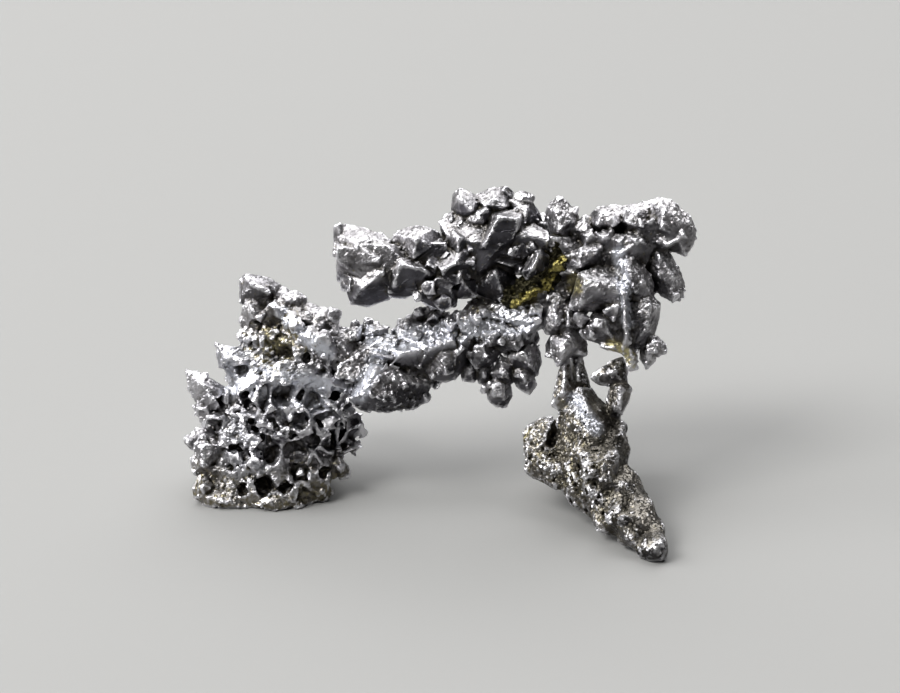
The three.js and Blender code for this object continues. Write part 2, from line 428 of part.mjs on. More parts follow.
/** Sockets of the lower leg. */
function legPits() {
  THREE.MathUtils.seededRandom(59);
  const pits = [[10.9, -7.9, 4.4, 0.55], [12.5, -7.4, 4.0, 0.45], [11.9, -8.6, 4.5, 0.5],
    [11.3, -9.7, 4.4, 0.5], [13.0, -9.6, 5.2, 0.45], [9.7, -6.9, 3.0, 0.5], [10.9, -5.6, 3.4, 0.4],
    [8.7, -7.7, 2.4, 0.45], [14.3, -11.6, 5.6, 0.36], [9.4, -4.4, 2.6, 0.45], [7.2, -7.3, 2.0, 0.4]];
  const tilt = 0.4;
  const depth = 1.5; // half-length of a socket over its half-width
  return pits.map(([x, y, z, radius]) => {
    const aim = [random(-tilt, tilt), random(-tilt, tilt), 1];
    return crystal([x, y, z], aim, radius * depth, radius);
  });
}

// ---------------------------------------------------------------------------------------------
// Left mass: a thick, skeletal lump, thorned along its free edge and pitted like a honeycomb

function leftMass() {
  THREE.MathUtils.seededRandom(74);
  return [
    core([[-13.2, 4.4, -2.0], [-12.4, 4.8, -3.0], [-7.2, 3.0, -1.8], [-6.0, 2.3, -2.0],
      [-6.0, 0.2, -1.2], [-13.0, 0.9, -1.4], [-10.2, 1.8, -0.6], [-8.4, 0.8, -0.4], [-12.6, 3.4, -4.4],
      [-7.4, 2.2, -4.4], [-7.0, 0, -5.4], [-12.6, 0, -5.6]]),
    core([[-13.4, 1.0, -1.8], [-6.5, 1.0, -1.4], [-6.3, -2.4, -1.6], [-7.0, -5.6, -2.2],
      [-9.0, -8.8, -2.0], [-11.4, -9.6, -1.6], [-15.6, -9.6, -1.9], [-16.0, -6.0, -2.0],
      [-14.9, -2.0, -1.8], [-10.6, -2.4, -0.4], [-12.6, -5.4, -0.6], [-9.4, -5.2, -0.8],
      [-13.2, 0, -5.2], [-7.4, -0.4, -5.4], [-7.4, -4.0, -6.2], [-9.2, -7.6, -6.6], [-14.6, -7.6, -6.6],
      [-15.2, -4.0, -5.8]]),
    // Blocks that make up the front, each a little higher or lower than its neighbours
    crystal([-13.0, -0.6, -1.9], [-0.3, 0.3, 1], 1.5, 1.7),
    crystal([-10.4, -0.4, -1.6], [0.1, 0.3, 1], 1.8, 1.8),
    crystal([-7.8, -0.8, -2.0], [0.4, 0.2, 1], 1.7, 1.7),
    crystal([-14.0, -3.8, -2.0], [-0.4, 0.1, 1], 1.5, 1.8),
    crystal([-11.4, -3.6, -1.6], [0, 0, 1], 1.9, 1.9),
    crystal([-8.7, -3.4, -2.0], [0.4, 0, 1], 1.8, 1.8),
    crystal([-14.2, -6.8, -2.2], [-0.4, -0.1, 1], 1.5, 1.9),
    crystal([-11.6, -6.8, -1.9], [0, -0.2, 1], 1.8, 1.9),
    crystal([-9.1, -6.2, -2.5], [0.4, -0.2, 1], 1.8, 1.8),
    crystal([-13.6, -8.9, -2.2], [-0.2, -0.4, 1], 1.4, 1.6),
    crystal([-10.8, -8.6, -2.4], [0.3, -0.4, 1], 1.5, 1.5),
    crystal([-11.6, 2.4, -1.9], [-0.2, 0.2, 1], 1.4, 1.6),
    crystal([-9.0, 2.0, -1.6], [0.2, 0.2, 1], 1.4, 1.5),
    ...strung([[-11.2, 3.9, -1.4, 0.8], [-9.9, 2.9, -0.7, 0.8], [-8.4, 1.6, -0.3, 0.8],
      [-6.4, 1.3, -0.7, 0.8]], 5),
    // Thorns along the free edge, from the top down
    gem(-1.8, [[-14.2, 4.7], [-14.15, 6.3], [-13.7, 6.6], [-12.9, 6.65], [-12.1, 6.5], [-11.4, 5.9],
      [-11.5, 4.7], [-12.6, 4.2]],
      [[-13.2, 6.0, 1.2], [-12.0, 5.4, 1.4]]),
    gem(-2.0, [[-11.9, 5.9], [-11.0, 5.8], [-10.4, 5.4], [-9.5, 5.0], [-9.6, 3.8], [-11.5, 3.8]],
      [[-10.7, 4.9, 1.4]]),
    gem(-2.0, [[-10.0, 4.7], [-8.8, 4.55], [-7.9, 4.35], [-7.2, 3.6], [-7.0, 2.6], [-9.8, 2.6]],
      [[-8.4, 3.6, 1.6]]),
    gem(-1.3, [[-13.9, 4.6], [-14.1, 3.4], [-13.8, 2.6], [-13.1, 2.3], [-12.2, 3.3], [-11.9, 4.4],
      [-12.8, 4.9]],
      [[-13.3, 4.1, 1.0], [-12.6, 3.6, 1.2]]),
    gem(-1.0, [[-13.55, 2.3], [-13.4, 1.6], [-12.8, 0.95], [-11.8, 1.0], [-11.6, 2.2], [-12.4, 2.9]],
      [[-12.6, 1.9, 1.0]]),
    gem(-1.5, [[-15.65, 1.7], [-15.75, 1.0], [-15.4, 0.1], [-14.9, -0.5], [-14.0, -0.8], [-12.8, 0.1],
      [-12.9, 1.0], [-14.6, 1.55]],
      [[-14.9, 0.8, 1.0], [-13.9, 0.5, 1.3]]),
    gem(-1.3, [[-17.8, -0.2], [-17.8, -1.3], [-17.3, -2.6], [-16.9, -3.1], [-15.4, -3.1], [-14.5, -1.8],
      [-15.8, -0.95], [-16.8, -0.35]],
      [[-16.6, -1.2, 1.1], [-16.0, -2.2, 1.3]]),
    gem(-1.2, [[-17.15, -3.3], [-16.9, -4.0], [-15.2, -4.8], [-14.2, -4.2], [-14.6, -3.0],
      [-16.0, -3.0]],
      [[-15.6, -3.5, 1.1]]),
    gem(-1.7, [[-17.8, -4.8], [-17.3, -4.2], [-16.4, -4.3], [-15.2, -4.8], [-15.4, -6.0],
      [-17.4, -5.6]],
      [[-16.8, -4.9, 0.9]]),
    gem(-1.7, [[-17.65, -6.4], [-17.2, -6.05], [-15.8, -6.2], [-15.4, -7.4], [-17.5, -7.4]],
      [[-16.9, -6.8, 0.8]]),
    gem(-1.8, [[-17.4, -8.3], [-17.0, -7.5], [-16.3, -7.3], [-15.6, -8.2], [-15.8, -9.2], [-16.7, -9.5],
      [-17.35, -9.1]],
      [[-16.6, -8.3, 1.1]]),
    crystal([-16.2, -5.9, -1.3], [-0.8, -0.2, 0.6], 0.9, 0.6),
    // Toe along the foot of the front
    gem(-1.4, [[-17.0, -9.0], [-16.4, -9.8], [-15.4, -10.3], [-13.0, -10.3], [-13.2, -8.8],
      [-15.6, -8.4]],
      [[-15.0, -9.4, 0.8]]),
    gem(-1.1, [[-13.8, -9.9], [-12.4, -10.4], [-11.2, -10.3], [-9.9, -9.7], [-10.4, -8.6],
      [-13.2, -8.6]],
      [[-11.8, -9.4, 0.9]]),
    // Nubs along the side that faces the middle arm
    gem(-2.0, [[-9.1, -7.8], [-8.3, -7.9], [-7.6, -8.4], [-7.75, -9.3], [-8.5, -9.6], [-9.3, -9.2]],
      [[-8.3, -8.7, 0.9]]),
    gem(-2.2, [[-8.4, -6.2], [-7.1, -6.0], [-6.4, -6.8], [-6.45, -7.6], [-7.5, -7.9], [-8.3, -7.5]],
      [[-7.2, -6.9, 1.0]]),
    gem(-2.6, [[-7.4, -4.4], [-6.2, -4.4], [-5.4, -5.1], [-5.9, -6.2], [-7.2, -6.3]],
      [[-6.4, -5.3, 1.1]]),
    gem(-3.0, [[-6.9, -3.0], [-5.6, -3.1], [-5.1, -3.9], [-5.3, -4.8], [-6.6, -5.2], [-7.2, -4.2]],
      [[-6.0, -4.0, 1.1]]),
    // Thorns on the back and on the under edge
    ...bristling([[-11.4, 4.0, -2.6, 1.7], [-10.6, 0.6, -3.6, 2.3], [-11.6, -3.6, -4.0, 3.0],
      [-12.2, -7.4, -4.2, 3.0]], 20, { front: -0.3, reach: 0.5, girth: 0.4 }),
    ...bristling([[-14.4, -0.6, -3.2, 1.5], [-15.0, -4.4, -3.6, 1.7], [-15.2, -8.0, -4.0, 1.8]], 10,
      { front: -0.2, reach: 0.7, girth: 0.5, habit: "thorn" }),
  ];
}

/** Sockets of the honeycomb: set ones on the front, a staggered lattice of them on the back. */
function massPits() {
  THREE.MathUtils.seededRandom(83);
  const set = [[-13.4, -2.2, 0.0, 0.7], [-15.9, -3.95, -0.6, 0.55], [-13.2, -4.0, 0.1, 0.55],
    [-11.3, -1.4, 0.6, 0.6], [-11.2, -3.6, 0.6, 0.6], [-9.8, -3.6, 0.5, 0.6], [-8.9, -5.2, 0.0, 0.75],
    [-11.9, -5.8, 0.2, 0.85], [-8.2, -3.4, -0.1, 0.7], [-8.9, -1.4, 0.4, 0.55], [-7.4, -1.9, -0.3, 0.6],
    [-10.1, -1.3, 0.6, 0.45], [-10.3, -5.6, 0.1, 0.55], [-9.8, -7.4, -0.4, 0.7],
    [-12.3, -8.2, -0.5, 0.7], [-8.2, -7.4, -1.1, 0.5], [-13.9, -8.5, -0.6, 0.55],
    [-14.7, -7.0, -0.5, 0.5], [-13.6, -6.1, -0.2, 0.55], [-10.9, -8.4, -0.6, 0.5],
    [-7.3, -5.4, -1.3, 0.55], [-6.9, -3.9, -1.1, 0.45], [-14.4, -5.6, -0.7, 0.45],
    [-15.4, -2.2, -0.6, 0.4], [-12.6, -0.2, 0.1, 0.4], [-13.0, 3.2, -0.6, 0.45],
    [-11.6, 3.2, -0.4, 0.5], [-9.4, 3.3, -0.8, 0.5], [-11.2, 2.2, -0.2, 0.4], [-8.0, 2.8, -0.6, 0.45],
    [-9.4, 0.8, 0.1, 0.45], [-7.2, 0.3, -0.4, 0.45], [-13.0, 1.6, -0.6, 0.4]];
  const tilt = 0.3;
  const depth = 1.6; // half-length of a socket over its half-width
  const socket = (x, y, z, radius) =>
    crystal([x, y, z], [random(-tilt, tilt), random(-tilt, tilt), 1], radius * depth, radius, "block");
  const sockets = set.map(([x, y, z, radius]) => socket(x, y, z, radius));
  const lattice = { x: -13.8, y: -8.2, pitch: 2.4, rise: 0.9, stray: 0.3, rows: 4, columns: 3 };
  const { pitch, rise, stray } = lattice;
  // The back bulges: it is deepest at its foot and comes forward above its waist.
  const back = (y) => -5.9 - 0.12 * (1.5 - y) + 0.35 * Math.max(0, y + 3);
  for (let row = 0; row < lattice.rows; row++) {
    for (let column = 0; column < lattice.columns; column++) {
      const x = lattice.x + (column + (row % 2) / 2) * pitch + random(-stray, stray);
      const y = lattice.y + row * pitch * rise + random(-stray, stray);
      sockets.push(socket(x, y, back(y), random(0.6, 0.9)));
    }
  }
  return sockets;
}

// ---------------------------------------------------------------------------------------------
// Chalcopyrite seam: brassy grains in the recess between the upper arm and the head

function brassySeam() {
  THREE.MathUtils.seededRandom(97);
  const line = [[5.3, 4.9, 1.4, 0.5], [6.2, 5.8, 1.6, 0.62], [7.4, 6.4, 1.6, 0.66],
    [8.1, 7.2, 1.5, 0.66], [8.4, 8.0, 1.4, 0.6], [9.2, 8.6, 1.2, 0.52], [10.1, 8.9, 1.0, 0.42]];
  return [...strung(line, 9, "nugget", 1.3), ...bristling(line, 13, { front: 2, reach: 0.8, girth: 0.65 })];
}

// ---------------------------------------------------------------------------------------------
// Assembly: each branch gives way to those before it, and all are cut level where they stand

const upright = [0, Math.cos(LEAN), Math.sin(LEAN)];
const acanthite = { color: 0x77787c, metalness: 1, roughness: 0.42, flatShading: true };
const chalcopyrite = { color: 0x9a8a45, metalness: 1, roughness: 0.5, flatShading: true };
const branches = [
  { name: "middle_arm", grow: middleArm(), pits: [], material: acanthite },
  { name: "upper_arm", grow: upperArm(), pits: [], material: acanthite },
  { name: "right_head", grow: rightHead(), pits: [], material: acanthite },
  { name: "lower_leg", grow: lowerLeg(), pits: legPits(), material: acanthite },
  { name: "left_mass", grow: leftMass(), pits: massPits(), material: acanthite },
  { name: "chalcopyrite_seam", grow: brassySeam(), pits: [], material: chalcopyrite },
];

const spray = new THREE.Group();
spray.rotation.x = Math.PI / 2 - LEAN;
const before = [];
for (const { name, grow, pits, material } of branches) {
  let solid = join(grow);
  if (pits.length) solid = solid.subtract(join(pits));
  if (before.length) solid = solid.subtract(join(before));
  solid = tidied(solid.trimByPlane(upright, GROUND));
  before.push(swollen(grow));
  const mesh = new THREE.Mesh(geometryOf(solid), new THREE.MeshStandardMaterial(material));
  mesh.name = name;
  spray.add(mesh);
}

// The origin is on the ground, under the middle of the specimen.
const specimen = new THREE.Group();
specimen.add(spray);
const box = new THREE.Box3().setFromObject(specimen, true);
const middle = box.getCenter(new THREE.Vector3());
spray.position.set(-middle.x, -middle.y, -box.min.z);

export default specimen;
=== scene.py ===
import itertools

import bpy
import numpy as np
import openvdb
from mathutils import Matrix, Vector


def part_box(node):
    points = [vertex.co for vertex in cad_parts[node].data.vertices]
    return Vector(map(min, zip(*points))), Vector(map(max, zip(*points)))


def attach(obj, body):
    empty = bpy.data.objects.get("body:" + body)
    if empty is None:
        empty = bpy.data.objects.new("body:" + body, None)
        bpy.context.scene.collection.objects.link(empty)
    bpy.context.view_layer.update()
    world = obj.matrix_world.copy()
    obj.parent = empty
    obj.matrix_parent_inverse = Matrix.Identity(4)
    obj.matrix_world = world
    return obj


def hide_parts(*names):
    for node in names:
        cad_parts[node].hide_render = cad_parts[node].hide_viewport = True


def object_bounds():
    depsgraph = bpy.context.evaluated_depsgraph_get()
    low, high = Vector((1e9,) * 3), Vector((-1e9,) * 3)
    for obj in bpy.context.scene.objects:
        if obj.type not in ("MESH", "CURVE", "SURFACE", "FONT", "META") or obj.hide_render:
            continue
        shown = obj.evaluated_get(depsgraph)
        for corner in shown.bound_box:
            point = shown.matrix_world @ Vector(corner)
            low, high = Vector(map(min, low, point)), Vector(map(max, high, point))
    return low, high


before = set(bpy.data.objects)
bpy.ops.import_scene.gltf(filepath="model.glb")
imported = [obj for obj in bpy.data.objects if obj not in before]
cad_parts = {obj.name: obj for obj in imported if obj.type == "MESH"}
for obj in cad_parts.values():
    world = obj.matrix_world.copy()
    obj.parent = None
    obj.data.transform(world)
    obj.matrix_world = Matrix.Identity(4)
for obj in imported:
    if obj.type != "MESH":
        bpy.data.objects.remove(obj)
cad_low, cad_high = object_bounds()

# --------------------------------------------------------------------------------------------------
# Left mass. A skeletal lump of acanthite, silver sulphide that grew as metallic pseudo-cubic
# crystals and was then etched, until thin walls stood round deep sockets. Pointed crystals line its
# free edge, and its underside, which bears the specimen, is a rough break.

MM = 0.001  # m, the unit of the frame
BAND = 1.3  # mm on either side of a surface in which its distance is known
MARGIN = 0.9  # mm of empty space that the grid takes in on every side
FORK_OVERLAP = 0.09  # mm that every branch is grown by, which closes the clearance at the forks
HIGHEST = 0.5  # mm that growth may stand above the solid
LEAST_SLOPE = 1e-6  # so that nothing is divided by 0
TURNS = 24  # different ways that small crystals lie
TURN_SHARE = 0.4999  # just under half, so that a mark of 1 still picks one of them
TURN_SEED = 500  # more than the seed of the crystals' places
GIRTH_SPREAD = 0.35  # how much thicker or thinner than asked a small crystal may be
CUT, CUT_SPREAD = 2.2, 0.4  # half sizes that add up to its cut corners: at 3 they would be whole
BURIED = 1.1  # half sizes that its middle may lie under the surface
SOCKET_MEAN, SOCKET_SPREAD = 0.75, 0.45  # sockets are from 0.3 to 1.2 times as deep as asked
PORE_MEAN, PORE_SPREAD = 0.7, 0.6  # pores are from 0.1 to 1.3 times as wide as asked
BAND_CORE, BAND_END = 0.3, 0.8  # widths from its middle line where a band is still full, and gone
LEAN = np.radians(25)  # how far the flat side of the spray leans back
FINE_REACH, BROAD_REACH = 0.3, 1.1  # mm round a point that are looked at to tell how hollow it is


def ramp(value, start, end):
    """0 up to start, 1 from end on, with a smooth rise or fall between."""
    share = np.clip((value - start) / (end - start), 0, 1)
    return share * share * (3 - 2 * share)


def filled(distance, voxel):
    """Share of solid round a point of a grid: half at the surface, all or nothing a voxel from it."""
    return np.clip(0.5 - distance / (2 * voxel), 0, 1)


def mean_around(values, reach, voxel):
    """Mean over a cube that goes reach mm to every side, from running sums along each axis.

    The sum over the cube's points is the running sum at its far end less that before its near end.
    """
    reach = max(1, round(reach / voxel))
    for axis in range(3):
        margin = [(0, 0)] * 3
        margin[axis] = (reach + 1, reach)
        total = np.cumsum(np.pad(values, margin), axis)
        length = total.shape[axis] - 2 * reach - 1
        ahead = np.take(total, range(2 * reach + 1, total.shape[axis]), axis)
        values = (ahead - np.take(total, range(length), axis)) / (2 * reach + 1)
    return values


def largest_body(corners, quads, triangles):
    """Leaves out crumbs that hang loose: keeps the corners and faces of the largest body.

    Every corner starts with its own number, and both ends of each side take the lower of theirs,
    until nothing changes and all the corners of a body have the same one.
    """
    sides = [np.stack([kind, np.roll(kind, 1, 1)], 2).reshape(-1, 2) for kind in (quads, triangles)]
    sides = np.concatenate(sides).astype(np.int64)
    body = np.arange(len(corners))
    before = body - 1
    while (body != before).any():
        before = body.copy()
        lowest = body[sides].min(1)
        for end in sides.T:
            np.minimum.at(body, end, lowest)
        body = body[body[body]]
    keep = body == np.bincount(body).argmax()
    number = np.cumsum(keep) - 1
    quads, triangles = (number[kind[keep[kind[:, 0]]]] for kind in (quads, triangles))
    return corners[keep], quads, triangles


class Growth:
    """A branch while its surface is worked out, as distances from it on a cubic grid of points.

    The distances start as those from the CAD solid, below 0 inside it, and only the points from
    deepest under its surface up to HIGHEST above it are changed, all of them at once. Lengths are in
    mm, and a set of points is three rows of numbers. In what follows, size is how far apart cells
    lie, and where is the share of a change that each point gets, from 0 to 1.
    """

    def __init__(self, node, voxel, deepest):
        self.node, self.voxel = node, voxel
        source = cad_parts[node].data
        corners = np.empty(len(source.vertices) * 3, np.float32)
        source.vertices.foreach_get("co", corners)
        corners = corners.reshape(-1, 3) / np.float32(MM)
        source.calc_loop_triangles()
        triangles = np.empty(len(source.loop_triangles) * 3, np.int32)
        source.loop_triangles.foreach_get("vertices", triangles)
        grid = openvdb.FloatGrid.createLevelSetFromPolygons(
            corners,
            triangles=triangles.reshape(-1, 3).astype(np.uint32),
            transform=openvdb.createLinearTransform(voxel),
            halfWidth=BAND / voxel,
        )
        margin = int(MARGIN / voxel)
        self.first = np.floor(corners.min(0) / voxel).astype(int) - margin
        last = np.ceil(corners.max(0) / voxel).astype(int) + margin
        self.field = np.empty(last - self.first, np.float32)
        grid.copyToArray(self.field, ijk=tuple(self.first.tolist()))
        self.field -= FORK_OVERLAP
        self.solid = self.field.copy()
        self.near = np.nonzero((self.field > -deepest) & (self.field < HIGHEST))
        self.points = ((np.stack(self.near) + self.first[:, None]) * voxel).astype(np.float32)
        self.distance = self.field[self.near]
        slope = np.stack([axis[self.near] for axis in np.gradient(self.field)])
        self.normal = slope / np.maximum(np.sqrt((slope * slope).sum(0)), LEAST_SLOPE)
        # How much more solid stands round a point than at that height over a flat: above 0 in a crease.
        around = mean_around(filled(self.field, voxel), BROAD_REACH, voxel)[self.near]
        self.crevice = around - 0.5 + np.clip(self.distance / (2 * BROAD_REACH), -0.5, 0.5)
        low, high = (np.array(corner)[:, None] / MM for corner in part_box(node))
        self.low, self.span = low, high - low
        self.along = (self.points - low) / self.span  # 0 to 1 over the node's box, along each axis

    def solid_at(self, places):
        """Distance of places from the solid, at the point of the grid that is nearest to them."""
        index = np.rint(places / self.voxel).astype(int) - self.first[:, None]
        index = np.clip(index, 0, np.array(self.field.shape)[:, None] - 1)
        return self.solid[tuple(index)]

    def cells(self, size, seed):
        """Which of many scattered centres is nearest: one lies in each cube of a lattice, at random.

        Gives the vector from it, the distances to it and to the second nearest, and four random
        numbers from -1 to 1 that belong to it.
        """
        random = np.random.default_rng(seed)
        place = self.points / np.float32(size)
        cube = np.floor(place).astype(np.int32)
        low = cube.min(1, keepdims=True) - 1
        span = (cube - low).max(1) + 2
        centres = random.random((3, span.prod()), np.float32)
        marks = random.uniform(-1, 1, (4, span.prod())).astype(np.float32)
        home = np.ravel_multi_index(cube - low, span).astype(np.int32)
        within = place - cube
        nearest = np.full(len(home), np.inf, np.float32)
        second, owner = nearest.copy(), home.copy()
        for step in itertools.product((-1, 0, 1), repeat=3):
            index = home + np.int32((step[0] * span[1] + step[1]) * span[2] + step[2])
            away = within - centres[:, index] - np.array(step, np.float32)[:, None]
            square = np.einsum("ij,ij->j", away, away)
            owner = np.where(square < nearest, index, owner)
            second = np.minimum(second, np.maximum(nearest, square))
            nearest = np.minimum(nearest, square)
        middle = np.stack(np.unravel_index(owner, span)) + low + centres[:, owner]
        away = (place - middle).astype(np.float32) * size
        return away, np.sqrt(nearest) * size, np.sqrt(second) * size, marks[:, owner]

    def drift(self, size, seed):
        """Smooth noise from -1 to 1: random values on a lattice, blended between eight corners."""
        random = np.random.default_rng(seed)
        place = self.points / size
        cube = np.floor(place).astype(int)
        share = ramp(place - cube, 0, 1)
        low = cube.min(1, keepdims=True)
        values = random.uniform(-1, 1, (cube - low).max(1) + 2)
        total = 0.0
        for step in itertools.product((0, 1), repeat=3):
            corner = np.array(step)[:, None]
            weight = np.where(corner, share, 1 - share).prod(0)
            total = total + weight * values[tuple(cube - low + corner)]
        return total

    def ledges(self, size, tilt, step, seed, where=1.0):
        """Chips the surface into flats: each cell of it is tilted and raised by random amounts."""
        away, _, _, marks = self.cells(size, seed)
        self.distance = self.distance + where * (tilt * (away * marks[:3]).sum(0) + step * marks[3])

    def sprout(self, size, half, share, seed, where=1.0, proud=0.2):
        """Joins small cubes to the surface, turned at random and cut at their corners.

        One grows in that share of the cells, if its middle lies close to the surface, and no further
        above it than proud times its half size. The distance from a crystal is the largest of the
        distances past its six faces and its eight cuts.
        """
        random = np.random.default_rng(seed + TURN_SEED)
        turns = np.linalg.qr(random.normal(size=(TURNS, 3, 3)))[0].astype(np.float32)
        away, _, _, marks = self.cells(size, seed)
        turn = turns[((marks[0] + 1) * TURN_SHARE * TURNS).astype(int)]
        local = np.abs(np.einsum("nij,jn->in", turn, away))
        girth = half * (1 + GIRTH_SPREAD * marks[1])
        cuts = (local.sum(0) - girth * (CUT + CUT_SPREAD * marks[2])) / np.sqrt(3)
        crystal = np.maximum(local.max(0), cuts + girth) - girth
        height = self.solid_at(self.points - away)
        close = (height > -BURIED * girth) & (height < proud * girth)
        grows = close & ((marks[3] + 1) / 2 < share * where)
        self.distance = np.where(grows, np.minimum(self.distance, crystal), self.distance)

    def soften(self, reach, edges, where):
        """Moves the surface to its mean over reach mm: fully in creases, and by that share at edges."""
        change = mean_around(self.field, reach, self.voxel)[self.near] - self.field[self.near]
        self.distance = self.distance + where * (np.minimum(change, 0) + edges * np.maximum(change, 0))
        self.solid[self.near] = self.distance

    def sockets(self, size, wall, steep, depth, seed):
        """Sinks every cell, but for walls that reach wall mm to either side of where two cells meet.

        The depth is steep times the distance from the wall, up to a depth of the cell's own.
        """
        _, nearest, second, marks = self.cells(size, seed)
        inside = (second - nearest) / 2 - wall
        bottom = depth * (SOCKET_MEAN + SOCKET_SPREAD * marks[0])
        self.distance = self.distance + np.clip(steep * inside, 0, bottom)

    def pores(self, size, radius, depth, seed, where=1.0):
        """Sinks a round hole of a random width, at most depth mm deep, at the middle of every cell."""
        _, nearest, _, marks = self.cells(size, seed)
        inside = radius * (PORE_MEAN + PORE_SPREAD * marks[1]) * where - nearest
        self.distance = np.maximum(self.distance, np.minimum(inside, self.distance + depth))

    def skin(self, name, loose):
        """The surface, where the distance is 0, as one closed mesh piece that stands for its node.

        Where it is nearly flat its faces are joined, the more so the larger loose is. Each corner
        gets two numbers that tell the material how hollow the place is: the share of solid in a
        small and in a large cube round it, half on a flat and more in a pit.
        """
        self.field[self.near] = self.distance
        heights = (np.arange(self.field.shape[2]) + self.first[2]) * self.voxel
        field = np.maximum(self.field, -heights)  # nothing grows below the ground
        field = np.clip(field, -BAND, BAND).astype(np.float32)
        grid = openvdb.FloatGrid()
        grid.transform = openvdb.createLinearTransform(self.voxel)
        grid.background = BAND
        grid.copyFromArray(field, ijk=tuple(self.first.tolist()))
        grid.gridClass = openvdb.GridClass.LEVEL_SET
        corners, triangles, quads = grid.convertToPolygons(isovalue=0.0, adaptivity=loose)
        corners, quads, triangles = largest_body(corners, quads, triangles)
        mesh = bpy.data.meshes.new(name)
        mesh.from_pydata(corners * MM, [], [*quads.tolist(), *triangles.tolist()])
        self.surface = corners.T.astype(np.float32)
        place = np.rint(self.surface / self.voxel).astype(int) - self.first[:, None]
        self.place = tuple(np.clip(place, 0, np.array(field.shape)[:, None] - 1))
        self.piece = bpy.data.objects.new(name, mesh)
        solid = filled(field, self.voxel)
        for label, reach in (("hollow_fine", FINE_REACH), ("hollow_broad", BROAD_REACH)):
            self.mark(label, mean_around(solid, reach, self.voxel)[self.place])
        bpy.context.scene.collection.objects.link(self.piece)
        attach(self.piece, "root")
        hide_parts(self.node)

    def at_surface(self, values):
        """Values of the points, for the corners of the piece: each takes that of its nearest point."""
        grid = np.zeros(self.field.shape, np.float32)
        grid[self.near] = values
        return grid[self.place]

    def mark(self, label, values):
        """Gives every corner of the piece a number that its material reads."""
        attribute = self.piece.data.attributes.new(label, "FLOAT", "POINT")
        attribute.data.foreach_set("value", np.asarray(values, np.float32))

    def near_to(self, spots):
        """1 at spots on the surface, falling to 0 away from them as the bell curve does.

        A spot is a share of the node's box along each axis, and a radius in mm.
        """
        total = np.zeros(self.surface.shape[1], np.float32)
        for *place, radius in spots:
            away = self.surface - self.low - np.array(place)[:, None] * self.span
            total = np.maximum(total, np.exp(-(away * away).sum(0) / radius**2))
        return total

    def on_bands(self, places, bands, width):
        """1 on bands that run over the flat side of the spray, 0 off them.

        A band is a row of points, each given in mm to the right of the middle of the node's box and
        up the spray from it. The distance from a band is the least distance from its straight runs,
        on each of which a dot product finds the nearest point.
        """
        across, back, rise = places - self.low - self.span / 2
        rise = rise * np.cos(LEAN) + back * np.sin(LEAN)
        off = np.full(len(rise), np.inf, np.float32)
        for band in bands:
            for (x, y), (x_end, y_end) in zip(band, band[1:]):
                run, climb = x_end - x, y_end - y
                share = ((across - x) * run + (rise - y) * climb) / (run * run + climb * climb)
                share = np.clip(share, 0, 1)
                off = np.minimum(off, np.hypot(across - x - share * run, rise - y - share * climb))
        return ramp(off, width * BAND_END, width * BAND_CORE)


MASS_VOXEL = 0.106  # mm between the points at which it is worked out
MASS_DEPTH = 1.15  # mm under its surface that the sockets may reach
BLOCK, BLOCK_HALF = 1.5, 0.42  # mm between the large crystals, and from their middle to a face
SOCKET, SOCKET_DEPTH = 1.65, 0.9  # mm
WALL = 0.05  # mm, half the thickness of the walls between the sockets
WARP = 0.32  # mm that the sockets are bent by
PITTING, PITTING_DEPTH = 0.75, 0.3  # mm, the smaller sockets on the left

RIDGES = [  # smooth plates that were left between the sockets
    [(0.4, 5.2), (1.4, 4.1), (2.8, 2.9), (4.4, 2.2), (6.9, 2.4)],
    [(-3.5, -0.4), (-1.0, 1.2), (0.9, 0.6), (4.4, 0.0)],
]
RIDGE_WIDTH = 0.9  # mm
WALL_HIGHLIGHT = [[(-2.5, 1.5), (2.0, -0.5)]]  # the middle of the lump, where the walls get a painted highlight
WALL_HIGHLIGHT_WIDTH = 3.5  # mm
MASS_BRASS = [(0.5, 0.5, 0.72, 2.3), (0.54, 0.5, 0.95, 1.0)]  # under the tip, and on it

mass = Growth("left_mass", MASS_VOXEL, MASS_DEPTH)
x, _, z = mass.along
smooth = mass.on_bands(mass.points, RIDGES, RIDGE_WIDTH)
etched = ramp(x, 0.12, 0.3) * ramp(z, 0.75, 0.62) * ramp(z, 0.06, 0.2)
upward = ramp(mass.normal[2], -0.2, 0.6)
tips = ramp(z, 0.78, 0.9)
plain = (1 - smooth) * (1 - tips)
mass.soften(reach=0.4, edges=0.0, where=np.maximum(ramp(z, 0.62, 0.72), 0.6 * etched))
mass.ledges(size=1.3, tilt=0.14, step=0.05, seed=1)
mass.sprout(size=BLOCK, half=BLOCK_HALF, share=0.5, seed=2, where=1 - 0.6 * etched)
straight = mass.points  # the sockets are laid out over shifted points, which bends their walls
mass.points = straight + WARP * np.stack([mass.drift(size=1.0, seed=seed) for seed in (31, 32, 33)])
spongy = ramp(x, 0.6, 0.35) * ramp(z, 0.5, 0.38)  # the lower left, where the walls are thicker
# Where nothing was etched the walls are thicker than the sockets are wide, so that none is sunk.
wall = WALL + 1.6 * (1 - etched) + 0.3 * smooth + 0.35 * spongy + 0.05 * mass.drift(size=1.6, seed=4)
deepest = SOCKET_DEPTH * (0.7 + 0.3 * ramp(x, 0.45, 0.75))
mass.sockets(size=SOCKET, wall=wall, steep=3.0, depth=deepest, seed=3)
pitted = etched * ramp(x, 0.7, 0.4) * ramp(z, 0.55, 0.45)
mass.sockets(size=PITTING, wall=0.03 + 0.4 * (1 - pitted), steep=2.2, depth=PITTING_DEPTH, seed=13)
mass.points = straight
sparse = (0.4 + 0.6 * upward) * plain * (1 - 0.8 * etched)
mass.sprout(size=0.6, half=0.16, share=0.35, seed=5, where=sparse)
top_and_foot = (ramp(z, 0.6, 0.7) + ramp(z, 0.24, 0.12)) * plain
mass.sprout(size=0.45, half=0.14, share=0.7, seed=15, where=top_and_foot)
